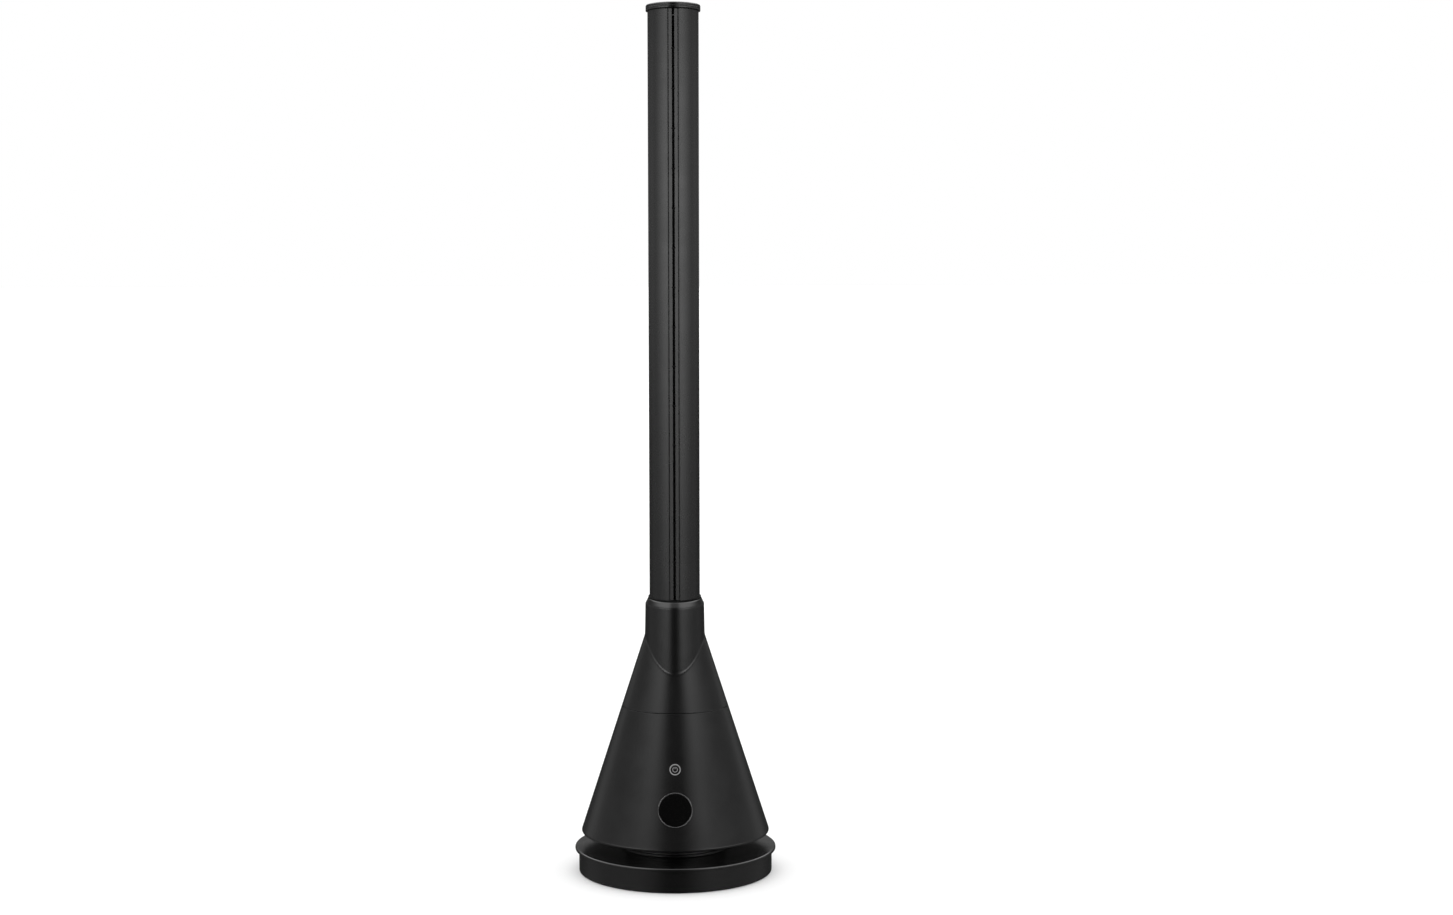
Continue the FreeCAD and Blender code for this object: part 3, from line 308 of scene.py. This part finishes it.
def rounded_path(corners, steps=6):
    """Turns (u, v, radius) corners of a closed outline into points, with arcs at the rounded corners.

    A guard point on either side of each arc keeps the shading of the flat faces true.
    """
    points = []
    count = len(corners)
    for index in range(count):
        u, v, radius = corners[index]
        here = Vector((u, v))
        if radius == 0:
            points.append((u, v))
            continue
        before = (Vector(corners[index - 1][:2]) - here).normalized()
        after = (Vector(corners[(index + 1) % count][:2]) - here).normalized()
        half = before.angle(after) / 2
        reach = radius / math.tan(half)
        centre = here + (before + after).normalized() * (radius / math.sin(half))
        start = here + before * reach - centre
        end = here + after * reach - centre
        turn = start.angle_signed(end)
        points.append(tuple(here + before * (reach + EDGE_GUARD)))
        for step in range(steps + 1):
            arm = start.copy()
            arm.rotate(Matrix.Rotation(-turn * step / steps, 2))
            points.append(tuple(centre + arm))
        points.append(tuple(here + after * (reach + EDGE_GUARD)))
    return points


def lathe(name, corners, body, slot, node, placing=None, segments=256, steps=6):
    """A closed outline of (radius, height, rounding) turned about the Z axis."""
    outline = rounded_path(corners, steps)
    points = []
    for radius, height in outline:
        for column in range(segments):
            angle = 2 * math.pi * column / segments
            points.append((radius * math.cos(angle), radius * math.sin(angle), height))
    faces = grid_faces(len(outline), segments, True)
    return piece_from(name, points, faces, body, slot, node, placing)


def front_placing(height):
    """Local Z outwards from the cone's front at a height, local Y up its slope."""
    radius = CONE_RADIUS - CONE_SLOPE * (height - CONE_LOW)
    place = Matrix.Translation(Vector((0, -radius, height)) * MM)
    return place @ Matrix.Rotation(math.pi / 2 - CONE_TILT, 4, "X")


def cone_radius(height):
    return CONE_RADIUS - CONE_SLOPE * (height - CONE_LOW)


# ---------------------------------------------------------------- camera

CAMERA_PLACE = (0.006, -2.698, 0.697)
CAMERA_PITCH = 4.93
CAMERA_ROLL = 0.0028
CAMERA_LENS = 60.5
CAMERA_SHIFT = 0.0326


def make_camera():
    data = bpy.data.cameras.new("camera")
    data.lens = CAMERA_LENS
    data.sensor_width = 36.0
    data.sensor_fit = "HORIZONTAL"
    data.clip_end = 200.0
    data.shift_x = CAMERA_SHIFT
    camera = bpy.data.objects.new("camera", data)
    camera.location = CAMERA_PLACE
    camera.rotation_euler = (math.radians(90 - CAMERA_PITCH), CAMERA_ROLL, 0)
    bpy.context.scene.collection.objects.link(camera)
    bpy.context.scene.camera = camera


make_camera()


# ---------------------------------------------------------------- floor dish

def dish():
    inner = DISH_RADIUS - DISH_WALL
    deck_low = DECK_HIGH - DISH_WALL
    corners = [
        (DISH_RADIUS, DISH_LOW, 1.0), (DISH_RADIUS, LIP_LOW, 0.5), (LIP_RADIUS, LIP_LOW, 0.9),
        (LIP_RADIUS, LIP_HIGH, 1.5),
        (BOSS_RADIUS, DECK_HIGH, 0.8), (BOSS_RADIUS, BOSS_HIGH, 0.6), (POST_HOLE, BOSS_HIGH, 0),
        (POST_HOLE, BOSS_HIGH - BOSS_WALL, 0), (BOSS_RADIUS - BOSS_WALL, BOSS_HIGH - BOSS_WALL, 0),
        (BOSS_RADIUS - BOSS_WALL, deck_low, 0),
        (inner, deck_low, 0), (inner, DISH_LOW, 0.3),
    ]
    lathe("floor_dish", corners, "base", "black_plastic", "base_cover", segments=320)


# ---------------------------------------------------------------- conical shells

def lower_cone():
    """Rings of the cone's outside and inside, with the window and button holes cut through."""
    top_radius = cone_radius(SEAM_LOW)
    foot_high = CONE_LOW + CONE_FOOT
    foot_inside = cone_radius(foot_high) - CONE_WALL
    corners = [
        (CONE_RADIUS, CONE_LOW, FOOT_ROUND), (top_radius, SEAM_LOW, 0.2),
        (top_radius - CONE_WALL, SEAM_LOW, 0),
        (foot_inside, foot_high, 0), (foot_inside, CONE_LOW, 0.2),
    ]
    piece = lathe("lower_cone", corners, "head", "black_plastic", "lower_shell", segments=320)
    for height, radius in ((WINDOW_HEIGHT, WINDOW_RING + 0.05), (BUTTON_HEIGHT, BUTTON_RING + 0.05)):
        drill(piece, front_placing(height), radius)


def drill(piece, placing, radius):
    """Cuts a round hole through a shell."""
    mesh = bpy.data.meshes.new("drill")
    working = bmesh.new()
    bmesh.ops.create_cone(working, cap_ends=True, segments=96, radius1=radius * MM, radius2=radius * MM,
                          depth=24 * MM)
    working.to_mesh(mesh)
    working.free()
    cutter = bpy.data.objects.new("drill", mesh)
    cutter.matrix_world = placing
    bpy.context.scene.collection.objects.link(cutter)
    modifier = piece.modifiers.new("hole", "BOOLEAN")
    modifier.object = cutter
    modifier.operation = "DIFFERENCE"
    modifier.solver = "EXACT"
    graph = bpy.context.evaluated_depsgraph_get()
    made = bpy.data.meshes.new_from_object(piece.evaluated_get(graph))
    piece.modifiers.clear()
    old = piece.data
    piece.data = made
    bpy.data.meshes.remove(old)
    bpy.data.objects.remove(cutter)
    bpy.data.meshes.remove(mesh)
    piece.data.set_sharp_from_angle(angle=math.radians(35))


def collar_radius(angle, height, inset):
    """Distance from the axis to the collar's oval surface, in the direction of an angle."""
    draft = COLLAR_DRAFT * (height - COLLAR_START)
    width = COLLAR_HALF_WIDTH - draft - inset
    depth = COLLAR_HALF_DEPTH - draft - inset
    return 1 / math.hypot(math.cos(angle) / width, math.sin(angle) / depth)


def smooth_larger(first, second, blend):
    """The larger of two values, with a soft change-over."""
    gap = max(blend - abs(first - second), 0) / blend
    return max(first, second) + gap * gap * blend / 4


def upper_cone():
    """Cone and oval collar grown together, as one closed shell with a bevelled rim."""
    segments = 384
    steps = 170
    mouth_width = HALF_WIDTH + MOUTH_GAP
    mouth_depth = HALF_DEPTH + MOUTH_GAP
    rows = []

    def outer(angle, height):
        return smooth_larger(cone_radius(height), collar_radius(angle, height, 0), 0.7)

    def inner(angle, height):
        cone = cone_radius(height) - CONE_WALL
        return max(cone, collar_radius(angle, height, COLLAR_WALL))

    def mouth(angle):
        return 1 / math.hypot(math.cos(angle) / mouth_width, math.sin(angle) / mouth_depth)

    angles = [2 * math.pi * column / segments for column in range(segments)]
    edge = 0.2
    bevel = RIM - BEVEL_HIGH
    rows.append([(outer(a, SEAM_HIGH) - edge, SEAM_HIGH) for a in angles])
    for step in range(1, 4):
        height = SEAM_HIGH + edge * step / 3
        rows.append([(outer(a, height) - edge * (1 - step / 3) ** 2, height) for a in angles])
    for step in range(1, steps + 1):
        height = SEAM_HIGH + edge + (bevel - 0.8 - SEAM_HIGH - edge) * step / steps
        rows.append([(outer(a, height), height) for a in angles])
    for part, drop in ((0.35, 0.5), (0.9, 0.02), (1.4, -0.35)):
        rows.append([(collar_radius(a, bevel, 0.1 * part ** 2), bevel - drop) for a in angles])
    for share in (0.25, 0.5, 0.75, 0.9):
        height = bevel + (RIM - bevel) * share
        rows.append([(collar_radius(a, height, BEVEL_IN * share), height) for a in angles])
    rows.append([(collar_radius(a, RIM, BEVEL_IN + 0.15), RIM - 0.06) for a in angles])
    rows.append([(collar_radius(a, RIM, BEVEL_IN + 0.4), RIM) for a in angles])
    rows.append([(mouth(a) + 0.15, RIM) for a in angles])
    rows.append([(mouth(a), RIM - 0.2) for a in angles])
    rows.append([(mouth(a), RIM - MOUTH_LENGTH) for a in angles])
    rows.append([(inner(a, RIM - MOUTH_LENGTH), RIM - MOUTH_LENGTH) for a in angles])
    for step in range(1, 13):
        height = RIM - MOUTH_LENGTH - (RIM - MOUTH_LENGTH - SEAM_HIGH) * step / 12
        rows.append([(inner(a, height), height) for a in angles])
    points = []
    for row in rows:
        points += [(r * math.cos(a), r * math.sin(a), z) for a, (r, z) in zip(angles, row)]
    faces = grid_faces(len(rows), segments, True)
    piece_from("upper_cone", points, faces, "head", "black_plastic", "upper_shell", sharp=50.0)


# ---------------------------------------------------------------- column

def oval_arc(half_width, half_depth, start, end, steps):
    """Points on an oval between two angles."""
    angles = [start + (end - start) * step / steps for step in range(steps + 1)]
    return [(half_width * math.cos(a), half_depth * math.sin(a)) for a in angles]


def extrude(name, outlines, low, high, body, slot, node, sharp=35.0):
    """Closed outlines stood up between two heights, with a guard row close to each end."""
    points = []
    faces = []
    for outline in outlines:
        first = len(points)
        count = len(outline)
        levels = [low, low + 0.02, high - 0.02, high]
        for height in levels:
            points += [(u, v, height) for u, v in outline]
        faces += grid_faces(len(levels), count, False, first)
        faces.append(tuple(reversed(range(first, first + count))))
        top = first + (len(levels) - 1) * count
        faces.append(tuple(range(top, top + count)))
    return piece_from(name, points, faces, body, slot, node, sharp=sharp)


def column():
    """Oval tube that stays open along its front, with softly rounded edges beside the channel."""
    opening = CHANNEL + 0.1
    outer_start = -math.pi / 2 + math.asin((opening + 0.35) / HALF_WIDTH)
    outer_end = 1.5 * math.pi - math.asin((opening + 0.35) / HALF_WIDTH)
    inner_width = HALF_WIDTH - TUBE_WALL
    inner_depth = HALF_DEPTH - TUBE_WALL
    inner_start = -math.pi / 2 + math.asin(opening / inner_width)
    inner_end = 1.5 * math.pi - math.asin(opening / inner_width)
    lip = HALF_DEPTH * math.cos(math.asin(opening / HALF_WIDTH))
    outline = [(opening, -lip + 0.4), (opening + 0.1, -lip + 0.12)]
    outline += oval_arc(HALF_WIDTH, HALF_DEPTH, outer_start, outer_end, 220)
    outline += [(-opening - 0.1, -lip + 0.12), (-opening, -lip + 0.4)]
    outline += oval_arc(inner_width, inner_depth, inner_end, inner_start, 120)
    extrude("column_skin", [outline], SLOT_LOW, TUBE_HIGH[2], "head", "column_paint", "column_tube",
            sharp=40.0)
    whole = oval_arc(HALF_WIDTH, HALF_DEPTH, 0, 2 * math.pi, 220)[:-1]
    bore = oval_arc(inner_width, inner_depth, 0, 2 * math.pi, 220)[:-1]
    points = [(u, v, z) for z in (TUBE_LOW[2], SLOT_LOW) for u, v in whole]
    points += [(u, v, z) for z in (SLOT_LOW, TUBE_LOW[2]) for u, v in bore]
    faces = grid_faces(4, len(whole), True)
    piece_from("column_foot", points, faces, "head", "column_paint", "column_tube")


def nozzle():
    """Two sloping lips with a slot between them, tied by turning vanes that curve back and down."""
    outlines = []
    for side in (-1, 1):
        corners = [
            (CHANNEL, CHANNEL_FRONT, 0.25), (SLOT, SLOT_FRONT, 0.3), (SLOT, SLOT_BACK, 0),
            (SLOT + SLOT_WALL, SLOT_BACK, 0), (SLOT + SLOT_WALL, -33, 0), (9, -33.6, 0),
            (9, -35.1, 0), (CHANNEL, -35.1, 0),
        ]
        outlines.append(rounded_path([(u * side, v, r) for u, v, r in corners], 5))
    extrude("nozzle_lips", outlines, STRIP_LOW[2], STRIP_HIGH[2], "head", "column_paint", "nozzle_strip")
    slope = (CHANNEL - SLOT) / (SLOT_FRONT - CHANNEL_FRONT)
    points = []
    faces = []
    for index in range(WEB_COUNT):
        top = WEB_TOP - WEB_PITCH * index + WEB_THICKNESS / 2
        section = bar_section(top) if index == WEB_COUNT - 1 else vane_section(top)
        first = len(points)
        for side in (-1, 1):
            for v, height in section:
                reach = SLOT + 0.2 + max(0, SLOT_FRONT - v) * slope
                points.append((side * reach, v, height))
        count = len(section)
        faces += [(first + i, first + (i + 1) % count, first + count + (i + 1) % count, first + count + i)
                  for i in range(count)]
        faces.append(tuple(range(first, first + count)))
        faces.append(tuple(reversed(range(first + count, first + 2 * count))))
    piece_from("nozzle_webs", points, faces, "head", "column_paint", "nozzle_strip")


def nose(top):
    """Rounded front edge of a web, from its underside to its top."""
    low = top - WEB_THICKNESS
    return [
        (WEB_FRONT + 0.45, low), (WEB_FRONT + 0.12, low + 0.2), (WEB_FRONT, low + 0.7),
        (WEB_FRONT + 0.12, top - 0.2),
        (WEB_FRONT + 0.45, top),
    ]


def bar_section(top):
    """Straight web at the foot of the slot."""
    return [*nose(top), (SLOT_BACK, top), (SLOT_BACK, top - WEB_THICKNESS)]


def vane_section(top):
    """Side view of a web that goes on as a quarter oval, back and down."""
    steps = 14
    outside = []
    inside = []
    for step in range(1, steps + 1):
        angle = math.pi / 2 * step / steps
        back = math.sin(angle)
        down = 1 - math.cos(angle)
        outside.append((WEB_FRONT + VANE_DEPTH * back, top - VANE_DROP * down))
        under = top - WEB_THICKNESS - (VANE_DROP - WEB_THICKNESS) * down
        inside.append((WEB_FRONT + (VANE_DEPTH - WEB_THICKNESS) * back, under))
    return [*nose(top), *outside, *reversed(inside)]


def cap():
    """Oval lid with soft edges and a fine waist line."""
    levels = [
        (2.4, 0.0), (0.5, 0.0), (0.15, 0.12), (0.0, 0.45), (0.0, 3.0), (0.06, 3.2), (0.28, 3.36),
        (0.28, 3.5),
        (0.06, 3.66), (0.0, 3.86), (0.0, 5.0), (0.12, 5.6), (0.42, 6.15), (0.9, 6.55), (1.5, 6.75),
        (2.4, 6.8),
        (8.0, 6.8), (16.0, 6.8), (24.0, 6.8),
    ]
    segments = 288
    angles = [2 * math.pi * column / segments for column in range(segments)]
    points = []
    for inset, rise in levels:
        width = CAP_HALF_WIDTH - inset
        depth = CAP_HALF_DEPTH - inset
        points += [(width * math.cos(a), depth * math.sin(a), CAP_PLATE_LOW + rise) for a in angles]
    faces = grid_faces(len(levels), segments, False)
    faces.append(tuple(reversed(range(segments))))
    last = (len(levels) - 1) * segments
    faces.append(tuple(range(last, last + segments)))
    piece_from("cap_lid", points, faces, "head", "black_plastic", "top_cap", sharp=60.0)


# ---------------------------------------------------------------- window and button

def window():
    place = front_placing(WINDOW_HEIGHT)
    ring = [
        (WINDOW_RADIUS, -5, 0), (WINDOW_RING, -5, 0), (WINDOW_RING, 0.4, 0.3),
        (WINDOW_RADIUS + 0.02, 0.4, 0.3),
    ]
    lathe("window_ring", ring, "head", "ring_black", "display_ring", place, segments=160)
    lens = [(0.01, -3, 0), (WINDOW_RADIUS, -3, 0), (WINDOW_RADIUS, -0.1, 0.35), (0.01, -0.02, 0)]
    lathe("window_lens", lens, "head", "window_black", "display_lens", place, segments=160)


def button():
    place = front_placing(BUTTON_HEIGHT)
    stroke = BUTTON_RING - 0.9
    ring = [(BUTTON_RADIUS + 0.15, -2.2, 0), (BUTTON_RING, -2.2, 0), (BUTTON_RING, 0.15, 0.12),
            (stroke, 0.15, 0.12), (stroke, -0.7, 0), (BUTTON_RADIUS + 0.15, -0.7, 0)]
    lathe("light_ring", ring, "head", "pale_print", "button_ring", place, segments=96)
    key = [(0.01, -5.1, 0), (1.6, -5.1, 0.2), (1.6, -3.5, 0), (5.7, -3.5, 0.2), (5.7, -2.5, 0.2),
           (BUTTON_RADIUS, -2.5, 0), (BUTTON_RADIUS, -0.05, 0.3), (2.5, -0.09, 1.0), (0.01, -0.1, 0)]
    lathe("button_key", key, "button", "black_plastic", "power_button", place, segments=96)
    symbol(place)


def symbol(place):
    """Open ring with a bar at the top."""
    points = []
    faces = []
    gap = math.radians(24)
    steps = 48
    low, high = -0.12, 0.08
    for step in range(steps + 1):
        angle = math.pi / 2 + gap + (2 * math.pi - 2 * gap) * step / steps
        for radius, height in ((2.3, low), (2.9, low), (2.9, high), (2.3, high)):
            points.append((radius * math.cos(angle), radius * math.sin(angle), height))
    for step in range(steps):
        a, b = step * 4, step * 4 + 4
        faces += [(a + i, a + (i + 1) % 4, b + (i + 1) % 4, b + i) for i in range(4)]
    faces += [(0, 1, 2, 3), tuple(steps * 4 + i for i in (3, 2, 1, 0))]
    first = len(points)
    for height in (low, high):
        points += [(-0.32, 0.7, height), (0.32, 0.7, height), (0.32, 3.1, height), (-0.32, 3.1, height)]
    faces += [(first + i, first + (i + 1) % 4, first + 4 + (i + 1) % 4, first + 4 + i) for i in range(4)]
    faces += [tuple(first + i for i in (3, 2, 1, 0)), tuple(first + 4 + i for i in range(4))]
    piece_from("symbol_inlay", points, faces, "button", "pale_print", "power_symbol", place)


dish()
lower_cone()
upper_cone()
column()
nozzle()
cap()
window()
button()


# ---------------------------------------------------------------- studio

FLOOR_REACH = 40.0
FLOOR_ALBEDO = 0.86
DOME_STRENGTH = 1.45

# Room seen in the object's gloss, in degrees: "turn" is away from the front, the others above the horizon.
# Each pair says where a soft change starts and ends, or how bright it is before and after.
SHADE_GLOW = 0.035
SIDE_TURN = (8.0, 42.0)
PANEL_FOOT = (-5.2, 0.0)
PANEL_TOP = (4.0, 7.0)
PANEL_TURN = (36.0, 115.0)
PANEL_GLOW = (4.7, 0.25)
WALL_TURN = (105.0, 150.0)
WALL_GLOW = (0.22, 0.04)
BACK_TURN = (125.0, 155.0)
BACK_SHARE = (1.0, 0.3)
UPPER_RISE = (16.0, 33.0)
UPPER_GLOW = 2.7
OVERHEAD_RISE = (26.0, 56.0)
OVERHEAD_GLOW = 1.3
BEHIND_TURN = (125.0, 150.0)
BEHIND_RISE = (14.0, 26.0)


def make_floor():
    """Pale floor. Gloss on the object looks through it into the room, which stays dark below eye level."""
    mesh = bpy.data.meshes.new("floor")
    corners = [(x * FLOOR_REACH, y * FLOOR_REACH, 0) for x, y in ((-1, -1), (1, -1), (1, 1), (-1, 1))]
    mesh.from_pydata(corners, [], [(0, 1, 2, 3)])
    floor = bpy.data.objects.new("floor", mesh)
    bpy.context.scene.collection.objects.link(floor)
    floor.visible_glossy = False
    material, _, _, shader = new_material("floor_white")
    shader.inputs["Base Color"].default_value = as_colour(FLOOR_ALBEDO)
    shader.inputs["Roughness"].default_value = 0.9
    shader.inputs["Specular IOR Level"].default_value = 0.1
    mesh.materials.append(material)


class Room:
    """Builds the brightness of the room, direction by direction, out of small world nodes."""

    def __init__(self, nodes, links):
        self.nodes = nodes
        self.links = links

    def plug(self, node, index, value):
        if isinstance(value, (int, float)):
            node.inputs[index].default_value = value
        else:
            self.links.new(value, node.inputs[index])

    def math(self, operation, first, second=0.0):
        node = self.nodes.new("ShaderNodeMath")
        node.operation = operation
        self.plug(node, 0, first)
        self.plug(node, 1, second)
        return node.outputs[0]

    def step(self, value, start, end, low=0.0, high=1.0):
        """Rises or falls softly from low to high while the value goes from start to end."""
        node = self.nodes.new("ShaderNodeMapRange")
        node.interpolation_type = "SMOOTHSTEP"
        for index, number in enumerate((value, start, end, low, high)):
            self.plug(node, index, number)
        return node.outputs[0]


def sines(angles):
    """Heights on a unit sphere of angles above the horizon."""
    return [math.sin(math.radians(angle)) for angle in angles]


def make_world():
    """White dome for the floor and the backdrop. The object's gloss sees panels at the sides and overhead."""
    world = bpy.data.worlds.new("studio")
    bpy.context.scene.world = world
    world.use_nodes = True
    nodes = world.node_tree.nodes
    links = world.node_tree.links
    nodes.clear()
    room = Room(nodes, links)
    place = nodes.new("ShaderNodeTexCoord")
    split = nodes.new("ShaderNodeSeparateXYZ")
    links.new(place.outputs["Generated"], split.inputs["Vector"])
    x, y, up = split.outputs
    turn = room.math("ABSOLUTE", room.math("ARCTAN2", x, room.math("MULTIPLY", y, -1.0)))
    turn = room.math("MULTIPLY", turn, 180 / math.pi)
    sides = room.step(turn, *SIDE_TURN)
    panel_foot = room.step(up, *sines(PANEL_FOOT))
    panel_top = room.step(up, *sines(PANEL_TOP), 1.0, 0.0)
    panel = room.math("MULTIPLY", panel_foot, panel_top)
    panel = room.math("MULTIPLY", panel, room.step(turn, *PANEL_TURN, *PANEL_GLOW))
    plain = room.step(turn, *WALL_TURN, *WALL_GLOW)
    walls = room.math("MULTIPLY", room.math("ADD", panel, plain), sides)
    walls = room.math("MULTIPLY", walls, room.step(turn, *BACK_TURN, *BACK_SHARE))
    walls = room.math("ADD", walls, SHADE_GLOW)
    upper = room.math("MULTIPLY", room.step(up, *sines(UPPER_RISE), 0.0, UPPER_GLOW), sides)
    overhead = room.step(up, *sines(OVERHEAD_RISE), 0.0, OVERHEAD_GLOW)
    behind = room.math("MULTIPLY", room.step(turn, *BEHIND_TURN), room.step(up, *sines(BEHIND_RISE)))
    glow = room.math("MAXIMUM", room.math("MAXIMUM", walls, overhead), room.math("MAXIMUM", upper, behind))
    seen = nodes.new("ShaderNodeBackground")
    seen.inputs["Strength"].default_value = 1.0
    dome = nodes.new("ShaderNodeBackground")
    dome.inputs["Strength"].default_value = DOME_STRENGTH
    gloss = nodes.new("ShaderNodeBackground")
    links.new(glow, gloss.inputs["Strength"])
    for background in (seen, dome, gloss):
        background.inputs["Color"].default_value = (1.0, 1.0, 1.0, 1.0)
    path = nodes.new("ShaderNodeLightPath")
    lit = nodes.new("ShaderNodeMixShader")
    links.new(path.outputs["Is Glossy Ray"], lit.inputs["Fac"])
    links.new(dome.outputs["Background"], lit.inputs[1])
    links.new(gloss.outputs["Background"], lit.inputs[2])
    choose = nodes.new("ShaderNodeMixShader")
    links.new(path.outputs["Is Camera Ray"], choose.inputs["Fac"])
    links.new(lit.outputs["Shader"], choose.inputs[1])
    links.new(seen.outputs["Background"], choose.inputs[2])
    output = nodes.new("ShaderNodeOutputWorld")
    links.new(choose.outputs["Shader"], output.inputs["Surface"])


make_floor()
make_world()
bpy.context.scene.view_settings.view_transform = "Standard"
